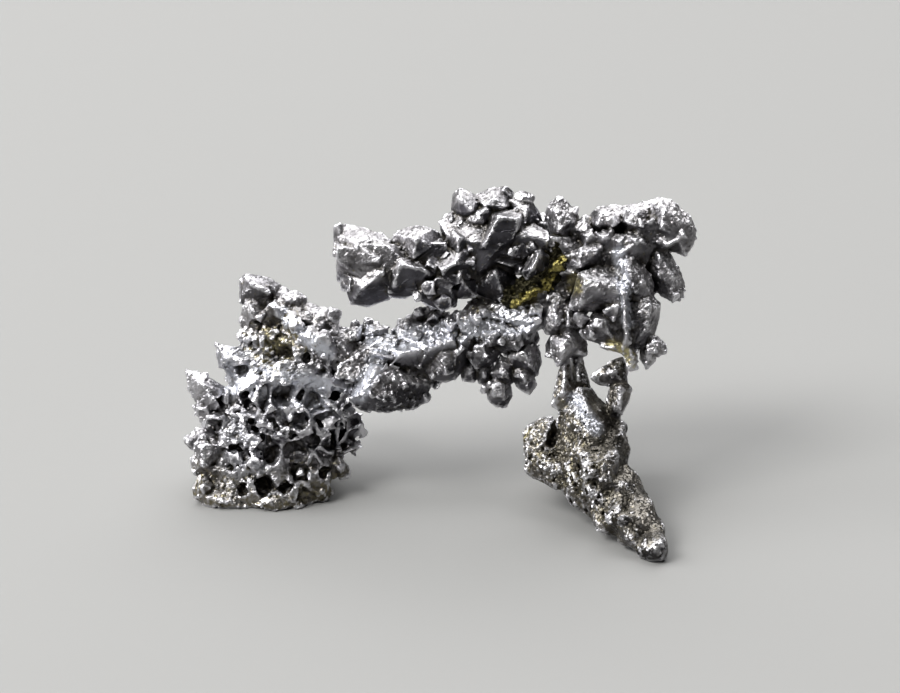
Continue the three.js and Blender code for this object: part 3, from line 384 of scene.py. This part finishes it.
kept_smooth = np.maximum(np.maximum(smooth, tips), 0.5 * etched)
mass.ledges(size=0.48, tilt=0.25, step=0.03, seed=6, where=1 - 0.8 * kept_smooth)
mass.distance += 0.02 * mass.drift(size=0.22, seed=7)
mass.skin("left_mass_crystals", loose=0.35)
x, _, z = (mass.surface - mass.low) / mass.span
mass.mark("brassy", np.maximum(0.9 * mass.near_to(MASS_BRASS), 0.6 * ramp(z, 0.3, 0.05)))
# Painted highlight: the walls in the middle of the lump and at its lower left are painted bright.
wall_highlight = 0.6 * mass.on_bands(mass.surface, WALL_HIGHLIGHT, WALL_HIGHLIGHT_WIDTH)
wall_highlight = np.maximum(wall_highlight, 0.4 * mass.at_surface(spongy * etched))
mass.mark("rubbed_and_highlight", np.maximum(mass.on_bands(mass.surface, RIDGES, RIDGE_WIDTH), wall_highlight))
# Painted shade: less grit, and so darker smooth faces, towards the lower right and on faces that turn
# down. The tips and the etched walls are also without grit.
uncoated_and_painted_shading = np.maximum(0.25 * mass.at_surface(tips), 0.7 * ramp(x - 0.4 * z, 0.4, 0.75))
uncoated_and_painted_shading = 1 - (1 - uncoated_and_painted_shading) * (1 - 0.3 * mass.at_surface(etched))
mass.mark("grit_and_painted_shading", (1 - uncoated_and_painted_shading) * (0.6 + 0.4 * mass.at_surface(upward)))


def linear(code):
    """The linear colour of an sRGB hex code: the sRGB curve undone, part by part."""
    share = np.array([int(code[i : i + 2], 16) for i in (1, 3, 5)]) / 255
    return (*np.where(share <= 0.04045, share / 12.92, ((share + 0.055) / 1.055) ** 2.4), 1.0)


def put(tree, kind, inputs=(), **settings):
    """Adds a node with its settings; its inputs take numbers or other nodes' outputs."""
    made = tree.nodes.new(kind)
    for name, value in settings.items():
        setattr(made, name, value)
    for name, value in dict(inputs).items():
        if isinstance(value, bpy.types.NodeSocket):
            tree.links.new(value, made.inputs[name])
        else:
            made.inputs[name].default_value = value
    return made


UNDER, OVER, MIXED = 6, 7, 2  # where the Mix node takes two colours, and where it gives the blend


def layered(tree, colour, layers):
    """Lays covers over a colour in turn, each by a value: none at its start, and all of it at full.

    The share of a cover is (value - start) / (full - start), kept between 0 and 1.
    """
    for value, start, full, cover in layers:
        inputs = {"Value": value, "From Min": start, "From Max": full}
        share = put(tree, "ShaderNodeMapRange", inputs).outputs["Result"]
        inputs = {"Factor": share, UNDER: colour, OVER: cover}
        colour = put(tree, "ShaderNodeMix", inputs, data_type="RGBA").outputs[MIXED]
    return colour


GRAIN, TARNISH_PATCH, FILM_PATCH = 0.16, 1.6, 0.3  # mm
TARNISHED = 0.35, 0.65  # where the noise of the tarnish goes from dark to clear
DARK_FACE, CLEAR_FACE = "#29282c", "#545359"  # a smooth face under thick and under thin tarnish
BRASSY_CAST = "#8f8770"  # the metal where a thin film of copper-iron sulphide lies on it
THIN_BRASS, THICK_BRASS = "#716b57", "#b8b088"  # that film where it has grown to specks
SPECKLED = 0.64, 0.78  # where its noise goes from no speck to a speck
RUBBED_AND_HIGHLIGHT = "#c8cad2"
# Painted highlight on crests, and painted shade in pits and deep pits, which are also dull brown.
CREST, PIT, DEEP_PIT = "#d0cfd3", "#45423a", "#302d29"
# Shares of solid round a place at which these colours start and are full. On a flat it is half.
AT_CREST, IN_PIT, IN_DEEP_PIT = (0.44, 0.31), (0.53, 0.74), (0.52, 0.76)
SHEEN, DULL = 0.28, 0.46  # roughness of the smoothest and of the roughest grain
DULLED = 0.3, 0.7  # where the noise of the grain goes from the one to the other
THICK = 0.6, 1.0  # marks of brassy places between which the specks go from thin to thick
MORE_SPECKS = 0.3  # share of that mark that is added to the noise of the film


def acanthite(name, frosted_dark, frosted_pale, grit_size, grit_slope):
    """Acanthite, silver sulphide, as grown or etched: a soft steel-grey metal under thin tarnish.

    Smooth faces are dark and mirror the light in broad patches. Grit is a crust of tiny crystals,
    each tilted its own way as cells of grit_size mm, so it is frosted, pale and full of glints. Its
    mark also carries painted light and shade: more of it, so paler, on faces that are lit, and less,
    so darker, on faces in shade. Crests get a painted highlight, rubbed places are bluish and some
    of them get a painted highlight too, pits are dull brown and darkened by painted shade, and
    brassy specks lie in patches.
    """
    material = bpy.data.materials.new(name)
    material.use_nodes = True
    tree = material.node_tree
    tree.nodes.clear()
    place = put(tree, "ShaderNodeTexCoord").outputs["Object"]
    marks = []
    for label in ("hollow_fine", "hollow_broad", "brassy", "grit_and_painted_shading", "rubbed_and_highlight"):
        marks.append(put(tree, "ShaderNodeAttribute", attribute_name=label).outputs["Fac"])
    fine, broad, brassy, grit_and_painted_shading, rubbed_and_highlight = marks
    noises = []
    for size, detail in ((GRAIN, 3.0), (TARNISH_PATCH, 3.0), (FILM_PATCH, 4.0)):
        inputs = {"Vector": place, "Scale": 1 / (size * MM), "Detail": detail}
        noises.append(put(tree, "ShaderNodeTexNoise", inputs).outputs["Fac"])
    grain, tarnish, film = noises
    smooth = layered(tree, linear(DARK_FACE), [(tarnish, *TARNISHED, linear(CLEAR_FACE))])
    frosted = layered(tree, linear(frosted_dark), [(tarnish, *TARNISHED, linear(frosted_pale))])
    specks = layered(tree, linear(THIN_BRASS), [(brassy, *THICK, linear(THICK_BRASS))])
    # The frosted colour follows the grit mark: partly a real crust, and partly painted light and shade
    # on lit and shaded faces.
    crust_and_shading_share = put(tree, "ShaderNodeMath", {0: grit_and_painted_shading, 1: grit_and_painted_shading}, operation="MULTIPLY").outputs[0]
    inputs = {0: brassy, 1: MORE_SPECKS, 2: film}
    film = put(tree, "ShaderNodeMath", inputs, operation="MULTIPLY_ADD").outputs[0]
    layers = [
        (crust_and_shading_share, 0.0, 1.0, frosted),
        (brassy, 0.0, 2.0, linear(BRASSY_CAST)),  # at most half of it
        (rubbed_and_highlight, 0.0, 1.0, linear(RUBBED_AND_HIGHLIGHT)),
        (film, *SPECKLED, specks),
        # Painted highlight on crests, and painted shade in pits and deep pits.
        (fine, *AT_CREST, linear(CREST)),
        (fine, *IN_PIT, linear(PIT)),
        (broad, *IN_DEEP_PIT, linear(DEEP_PIT)),
    ]
    colour = layered(tree, smooth, layers)
    inputs = {"Value": grain, "From Min": DULLED[0], "From Max": DULLED[1]}
    inputs.update({"To Min": SHEEN, "To Max": DULL})
    rough = put(tree, "ShaderNodeMapRange", inputs).outputs["Result"]
    # Each grain of the grit is a flat: its height is its tilt times the way from its middle.
    cell = put(tree, "ShaderNodeTexVoronoi", {"Vector": place, "Scale": 1 / (grit_size * MM)})
    inputs = {0: cell.outputs["Color"], 1: (0.5, 0.5, 0.5)}
    tilt = put(tree, "ShaderNodeVectorMath", inputs, operation="SUBTRACT").outputs["Vector"]
    inputs = {0: place, 1: cell.outputs["Position"]}
    away = put(tree, "ShaderNodeVectorMath", inputs, operation="SUBTRACT").outputs["Vector"]
    inputs = {0: tilt, 1: away}
    height = put(tree, "ShaderNodeVectorMath", inputs, operation="DOT_PRODUCT").outputs["Value"]
    slope = put(tree, "ShaderNodeMath", {0: grit_and_painted_shading, 1: grit_slope}, operation="MULTIPLY").outputs[0]
    facets = put(tree, "ShaderNodeBump", {"Height": height, "Distance": slope, "Strength": 1.0})
    inputs = {"Base Color": colour, "Metallic": 1.0, "Roughness": rough}
    inputs["Normal"] = facets.outputs["Normal"]
    shader = put(tree, "ShaderNodeBsdfPrincipled", inputs)
    put(tree, "ShaderNodeOutputMaterial", {"Surface": shader.outputs["BSDF"]})
    return material


# Etching leaves the walls matt and pale, so they stand out light against the brown sockets, which
# painted shade darkens further.
etched_metal = acanthite(
    "etched_acanthite",
    frosted_dark="#858386",
    frosted_pale="#d0ced1",
    grit_size=0.17,
    grit_slope=0.5,
)
mass.piece.data.materials.append(etched_metal)

# --------------------------------------------------------------------------------------------------
# Middle arm. The limb of acanthite crystals, grown into each other, that bridges the left mass and
# the leg. Small crystals crust its upper side, made bright there by painted light, the faces below
# are smooth and dark with painted shade, and a smooth plate that grew across the fork joins it to
# the mass.

ARM_VOXEL = 0.072  # mm
CRYSTAL_DEPTH = 0.5  # mm under the solid's surface that growth may change on all but the mass

WEB = [  # the smooth plate, and the flat that faces left below it
    [(-5.4, 0.3), (-3.0, -0.7)],
    [(-5.9, -4.0), (-4.9, -2.4), (-4.1, -0.7)],
]
WEB_WIDTH = 1.1  # mm
TOP = [[(-3.0, -0.4), (1.9, 0.6), (6.1, 1.3)]]  # the crest of the arm, where the crust gets a painted highlight
TOP_WIDTH = 1.8  # mm
MIDDLE_BRASS = [(0.62, 0.5, 0.8, 2.0), (0.25, 0.5, 0.55, 0.8)]

middle = Growth("middle_arm", ARM_VOXEL, CRYSTAL_DEPTH)
open_side = 1 - middle.on_bands(middle.points, WEB, WEB_WIDTH)
crust_and_painted_light = ramp(middle.normal[2] - 0.3 * middle.normal[0], -0.1, 0.5)
crust_and_painted_light = np.maximum(crust_and_painted_light, 0.9 * middle.on_bands(middle.points, TOP, TOP_WIDTH)) * open_side
creases = ramp(middle.crevice, 0.0, 0.1)
middle.ledges(size=1.1, tilt=0.07, step=0.02, seed=21)
middle.sprout(size=1.3, half=0.4, share=0.25, seed=22)
middle.sprout(size=0.8, half=0.26, share=0.9, seed=23, where=crust_and_painted_light, proud=0.6)
middle.sprout(size=0.42, half=0.13, share=0.6, seed=24, where=np.maximum(crust_and_painted_light, creases))
x, _, z = middle.along
rough_block = ramp(x, 0.46, 0.38) * ramp(z, 0.45, 0.35) * open_side
middle.ledges(size=0.5, tilt=0.3, step=0.02, seed=27, where=rough_block)
middle.pores(size=0.45, radius=0.1, depth=0.14, seed=28, where=rough_block)
middle.ledges(size=0.33, tilt=0.2, step=0.02, seed=25, where=0.3 + 0.4 * crust_and_painted_light)
middle.distance += 0.02 * middle.drift(size=0.2, seed=26) * (0.2 + 0.8 * crust_and_painted_light)
middle.skin("middle_arm_crystals", loose=0.14)
# Painted light and shade: the crust mark makes the faces that turn up and left, and the crest, pale and
# frosted, and leaves the faces below dark.
middle.mark("grit_and_painted_shading", 0.3 + 0.7 * middle.at_surface(crust_and_painted_light))
middle.mark("brassy", 0.6 * middle.near_to(MIDDLE_BRASS))
# Painted highlight along the crest of the arm, where the crust is.
top_highlight = 0.9 * middle.on_bands(middle.surface, TOP, TOP_WIDTH) * middle.at_surface(crust_and_painted_light)
middle.mark("rubbed_and_highlight", np.maximum(middle.on_bands(middle.surface, WEB, WEB_WIDTH), top_highlight))
# As grown, acanthite has dark mirror-like faces, and a frosted look only where it is crusted.
# The crust mark also paints light and shade: pale on the faces turned up, dark on those below.
grown_metal = acanthite(
    "grown_acanthite",
    frosted_dark="#706e70",
    frosted_pale="#bbb9bb",
    grit_size=0.16,
    grit_slope=0.4,
)
middle.piece.data.materials.append(grown_metal)

# --------------------------------------------------------------------------------------------------
# Upper arm. A row of larger and cleaner acanthite crystals that grew from the head out over the
# middle arm, with small ones in the creases between them. The wedge at its free end is frosted.

STREAK = [[(7.4, -0.7), (8.8, 0.1)]]  # the end of the seam's yellow film, on the crystals over it
STREAK_WIDTH = 0.7  # mm

upper = Growth("upper_arm", ARM_VOXEL, CRYSTAL_DEPTH)
x, _, z = upper.along
wedge = 0.8 * ramp(x, 0.27, 0.2) * ramp(z, 0.3, 0.38)
crust_and_painted_light = np.maximum(ramp(upper.normal[2] - 0.5 * upper.normal[0], 0.2, 0.9), wedge)
creases = ramp(upper.crevice, -0.02, 0.08)
upper.ledges(size=1.3, tilt=0.05, step=0.02, seed=41)
upper.sprout(size=1.5, half=0.45, share=0.25, seed=42)
upper.sprout(size=0.62, half=0.19, share=0.6, seed=43, where=np.maximum(creases, 0.08 * crust_and_painted_light))
upper.sprout(size=0.38, half=0.12, share=0.5, seed=44, where=creases)
upper.ledges(size=0.36, tilt=0.16, step=0.015, seed=45, where=0.1 + 0.7 * crust_and_painted_light)
upper.distance += 0.015 * upper.drift(size=0.2, seed=46) * (0.2 + 0.8 * crust_and_painted_light)
upper.skin("upper_arm_crystals", loose=0.1)
# Painted light and shade: the crust mark makes the faces that turn up and left pale and frosted, and
# leaves the others dark.
upper.mark("grit_and_painted_shading", 0.2 + 0.8 * upper.at_surface(crust_and_painted_light))
upper.mark("brassy", upper.on_bands(upper.surface, STREAK, STREAK_WIDTH))
upper.mark("rubbed_and_highlight", np.zeros(upper.surface.shape[1]))
upper.piece.data.materials.append(grown_metal)

# --------------------------------------------------------------------------------------------------
# Right head. A sheaf of long rounded acanthite crystals that hang outwards like petals from where
# the arms and the leg meet. A fine granular crust grew on their crests, their sides are dull faces,
# and a smooth rib runs down the middle.

HEAD_VOXEL = 0.078  # mm
RIB = [[(0.0, 1.5), (0.6, -3.4)]]
RIB_FLANKS, RIB_WIDTH = 2.4, 0.8  # mm
HEAD_BRASS = [[(-0.5, -4.9), (0.7, -5.7), (0.7, -6.4)], [(-3.2, -0.3), (-3.1, -1.0)]]
HEAD_BRASS_WIDTH = 0.9  # mm

head = Growth("right_head", HEAD_VOXEL, CRYSTAL_DEPTH)
outward = ramp(head.normal[2] + 0.5 * head.normal[0], 0.0, 0.8)
crust_and_painted_light = np.maximum(outward, ramp(head.crevice, -0.1, -0.25))
head.soften(reach=0.55, edges=0.0, where=head.on_bands(head.points, RIB, RIB_FLANKS))
head.ledges(size=1.2, tilt=0.06, step=0.02, seed=61)
head.sprout(size=1.0, half=0.3, share=0.25, seed=62)
head.sprout(size=0.4, half=0.12, share=0.6, seed=64, where=np.maximum(outward, 0.7 * crust_and_painted_light))
head.ledges(size=0.3, tilt=0.22, step=0.02, seed=65, where=0.5 + 0.5 * crust_and_painted_light)
head.distance += 0.02 * head.drift(size=0.2, seed=66) * (0.2 + 0.8 * outward)
head.skin("right_head_crystals", loose=0.15)
# Painted light and shade: the crust mark makes the faces that turn up and right, and the crests, pale
# and frosted, and the others darker.
head.mark("grit_and_painted_shading", 0.5 + 0.5 * head.at_surface(crust_and_painted_light))
head.mark("brassy", head.on_bands(head.surface, HEAD_BRASS, HEAD_BRASS_WIDTH))
head.mark("rubbed_and_highlight", head.on_bands(head.surface, RIB, RIB_WIDTH))
head.piece.data.materials.append(grown_metal)

# --------------------------------------------------------------------------------------------------
# Lower leg. A tapering horn of acanthite that hangs from the head by two columns and stands on its
# tip and on a short heel behind it. It grew finely granular all over, with pores and a brassy film
# on its left, where a deep slit runs down beside a smooth ridge.

LEG_VOXEL = 0.085  # mm
EDGE = [[(-1.3, 3.2), (0.2, 1.2)]]  # the smooth ridge below the fork
EDGE_WIDTH = 0.9  # mm
SLIT = [[(-2.3, 2.1), (-3.0, 0.1)]]
SLIT_WIDTH, SLIT_SPREAD, SLIT_DEPTH = 0.5, 0.3, 0.45  # mm
LEG_BRASS = [(0.62, 0.72, 0.78, 0.8), (0.03, 0.6, 0.52, 0.8)]

leg = Growth("lower_leg", LEG_VOXEL, CRYSTAL_DEPTH)
x, _, z = leg.along
left = ramp(x + 0.35 * z, 0.85, 0.6)
leg.soften(reach=0.45, edges=1.0, where=1 - ramp(z, 0.6, 0.7))
leg.ledges(size=1.1, tilt=0.06, step=0.02, seed=81)
leg.sprout(size=0.34, half=0.1, share=0.6, seed=83, where=0.3 + 0.7 * left)
front = ramp(leg.normal[1], 0.3, -0.1)
slit_width = SLIT_WIDTH + SLIT_SPREAD * leg.drift(size=0.4, seed=89)
leg.distance += SLIT_DEPTH * leg.on_bands(leg.points, SLIT, slit_width) * front
leg.pores(size=0.9, radius=0.17, depth=0.35, seed=87, where=left)
leg.pores(size=0.42, radius=0.12, depth=0.2, seed=88, where=0.3 + 0.7 * left)
leg.ledges(size=0.26, tilt=0.2, step=0.015, seed=85, where=0.55 + 0.45 * left)
leg.skin("lower_leg_crystals", loose=0.2)
x, _, z = (leg.surface - leg.low) / leg.span
film = 0.3 * ramp(x + 0.35 * z, 0.9, 0.55) * ramp(z, 0.95, 0.7)
leg.mark("brassy", np.maximum(leg.near_to(LEG_BRASS), film))
leg.mark("rubbed_and_highlight", leg.on_bands(leg.surface, EDGE, EDGE_WIDTH))
# Painted shade: faces that turn down get less grit, so they are darker.
leg.mark("grit_and_painted_shading", 0.5 + 0.5 * leg.at_surface(ramp(leg.normal[2], -0.4, 0.3)))
# The finest growth of all: close grains with dirt between them, dark and brown with sharp glints.
granular_metal = acanthite(
    "granular_acanthite",
    frosted_dark="#282623",
    frosted_pale="#78746e",
    grit_size=0.13,
    grit_slope=0.6,
)
leg.piece.data.materials.append(granular_metal)

# --------------------------------------------------------------------------------------------------
# Chalcopyrite seam. Copper-iron sulphide that filled the crevice between the upper arm and the head
# as brass-yellow grains, grown together and onto the acanthite. Painted olive shade covers most of
# it and darkens the pits between its grains, and the brass shows along a painted lit streak.

SEAM_VOXEL = 0.068  # mm
LIT_STREAK = [[(-1.5, -1.8), (0.6, -0.8), (1.4, 0.6), (2.2, 1.6)]]  # the streak that is painted lit, where no painted shade lies
LIT_STREAK_WIDTH = 0.6  # mm
SHADE_PATCH = 0.5  # mm
# Painted shade: olive over most of the seam, and darker in its pits.
OLIVE_SHADE, BRASS_YELLOW, DARK_PIT_SHADE = "#26241a", "#b3a866", "#2e2b1a"
LESS_SHADE = 0.3  # share of the streak's mark that is added to the noise of the patches
OUT_OF_SHADE = 0.64, 0.86  # where their sum goes from painted shade to lit brass
SHADED_PIT = 0.48, 0.66  # shares of solid round it where painted shade in the pits starts and is full
SATIN = 0.42  # roughness

seam = Growth("chalcopyrite_seam", SEAM_VOXEL, CRYSTAL_DEPTH)
seam.sprout(size=0.36, half=0.12, share=0.8, seed=101)
seam.ledges(size=0.24, tilt=0.35, step=0.03, seed=102)
seam.pores(size=0.5, radius=0.16, depth=0.3, seed=103)
seam.skin("chalcopyrite_seam_grains", loose=0.1)
seam.mark("lit_streak", seam.on_bands(seam.surface, LIT_STREAK, LIT_STREAK_WIDTH))


def chalcopyrite():
    """Granular, satin brass-yellow chalcopyrite under painted olive shade, darker in pits, lit on a
    streak.
    """
    material = bpy.data.materials.new("granular_chalcopyrite")
    material.use_nodes = True
    tree = material.node_tree
    tree.nodes.clear()
    place = put(tree, "ShaderNodeTexCoord").outputs["Object"]
    fine = put(tree, "ShaderNodeAttribute", attribute_name="hollow_fine").outputs["Fac"]
    lit_streak = put(tree, "ShaderNodeAttribute", attribute_name="lit_streak").outputs["Fac"]
    patches = put(tree, "ShaderNodeTexNoise", {"Vector": place, "Scale": 1 / (SHADE_PATCH * MM)})
    inputs = {0: lit_streak, 1: LESS_SHADE, 2: patches.outputs["Fac"]}
    uncoated_and_painted_shading = put(tree, "ShaderNodeMath", inputs, operation="MULTIPLY_ADD").outputs[0]
    layers = [(uncoated_and_painted_shading, *OUT_OF_SHADE, linear(BRASS_YELLOW)), (fine, *SHADED_PIT, linear(DARK_PIT_SHADE))]
    colour = layered(tree, linear(OLIVE_SHADE), layers)
    inputs = {"Base Color": colour, "Metallic": 1.0, "Roughness": SATIN}
    shader = put(tree, "ShaderNodeBsdfPrincipled", inputs)
    put(tree, "ShaderNodeOutputMaterial", {"Surface": shader.outputs["BSDF"]})
    return material


seam.piece.data.materials.append(chalcopyrite())

# --------------------------------------------------------------------------------------------------
# Stage. A floor of pale matt paper under soft panels in a dim grey room: a broad one above and
# behind, one at the left, and a small bright one that draws the glints. The camera looks down on
# the flat side of the spray.

FLOOR_HALF = 2  # m
PAPER, PAPER_ROUGHNESS = "#7c7c7b", 0.9
ROOM, ROOM_STRENGTH = "#bebdbd", 0.075
CAMERA_ELEVATION = LEAN
FIELD = 63 * MM  # width of the view at the specimen
AIM_RIGHT, AIM_UP = 0.66 * MM, 1.44 * MM  # from the middle of the object to that of the view
LENS = 150  # mm

floor_mesh = bpy.data.meshes.new("floor")
square = FLOOR_HALF * np.array([(-1, -1, 0), (1, -1, 0), (1, 1, 0), (-1, 1, 0)])
floor_mesh.from_pydata(square, [], [(0, 1, 2, 3)])
floor = bpy.data.objects.new("floor", floor_mesh)
bpy.context.scene.collection.objects.link(floor)
# Uncoated paper is matt, so it shows shadows and no reflections.
paper = bpy.data.materials.new("pale_matt_paper")
paper.use_nodes = True
paper_inputs = paper.node_tree.nodes["Principled BSDF"].inputs
paper_inputs["Base Color"].default_value = linear(PAPER)
paper_inputs["Roughness"].default_value = PAPER_ROUGHNESS
floor_mesh.materials.append(paper)

centre = (cad_low + cad_high) / 2


def softbox(name, azimuth, elevation, width, height, radiance, colour):
    """A matt panel 1 m away from the specimen in that direction, facing it, its sizes in m.

    Its power is pi times its radiance times its area.
    """
    a, e = np.radians(azimuth), np.radians(elevation)
    back = Vector((np.sin(a) * np.cos(e), -np.cos(a) * np.cos(e), np.sin(e)))
    light = bpy.data.lights.new(name, "AREA")
    light.shape = "RECTANGLE"
    light.size, light.size_y = width, height
    light.energy = radiance * np.pi * width * height
    light.color = linear(colour)[:3]
    lamp = bpy.data.objects.new(name, light)
    lamp.location = centre + back
    lamp.rotation_euler = back.to_track_quat("Z", "Y").to_euler()
    bpy.context.scene.collection.objects.link(lamp)


softbox("overhead", azimuth=175, elevation=58, width=1.3, height=1.2, radiance=5, colour="#ffffff")
softbox("left", azimuth=-88, elevation=34, width=0.8, height=0.7, radiance=7, colour="#ffffff")
softbox("key", azimuth=-60, elevation=50, width=0.42, height=0.42, radiance=18, colour="#fffefb")

world = bpy.data.worlds.new("studio")
world.use_nodes = True
room_inputs = world.node_tree.nodes["Background"].inputs
room_inputs["Color"].default_value = linear(ROOM)
room_inputs["Strength"].default_value = ROOM_STRENGTH
bpy.context.scene.world = world
bpy.context.scene.view_settings.view_transform = "Standard"

camera_data = bpy.data.cameras.new("camera")
camera_data.lens = LENS
camera_data.clip_start = 0.01  # m
distance = FIELD * LENS / camera_data.sensor_width
back = Vector((0, -np.cos(CAMERA_ELEVATION), np.sin(CAMERA_ELEVATION)))
up = Vector((0, np.sin(CAMERA_ELEVATION), np.cos(CAMERA_ELEVATION)))
camera = bpy.data.objects.new("camera", camera_data)
camera.location = centre + Vector((AIM_RIGHT, 0, 0)) + up * AIM_UP + back * distance
camera.rotation_euler = back.to_track_quat("Z", "Y").to_euler()
bpy.context.scene.collection.objects.link(camera)
bpy.context.scene.camera = camera
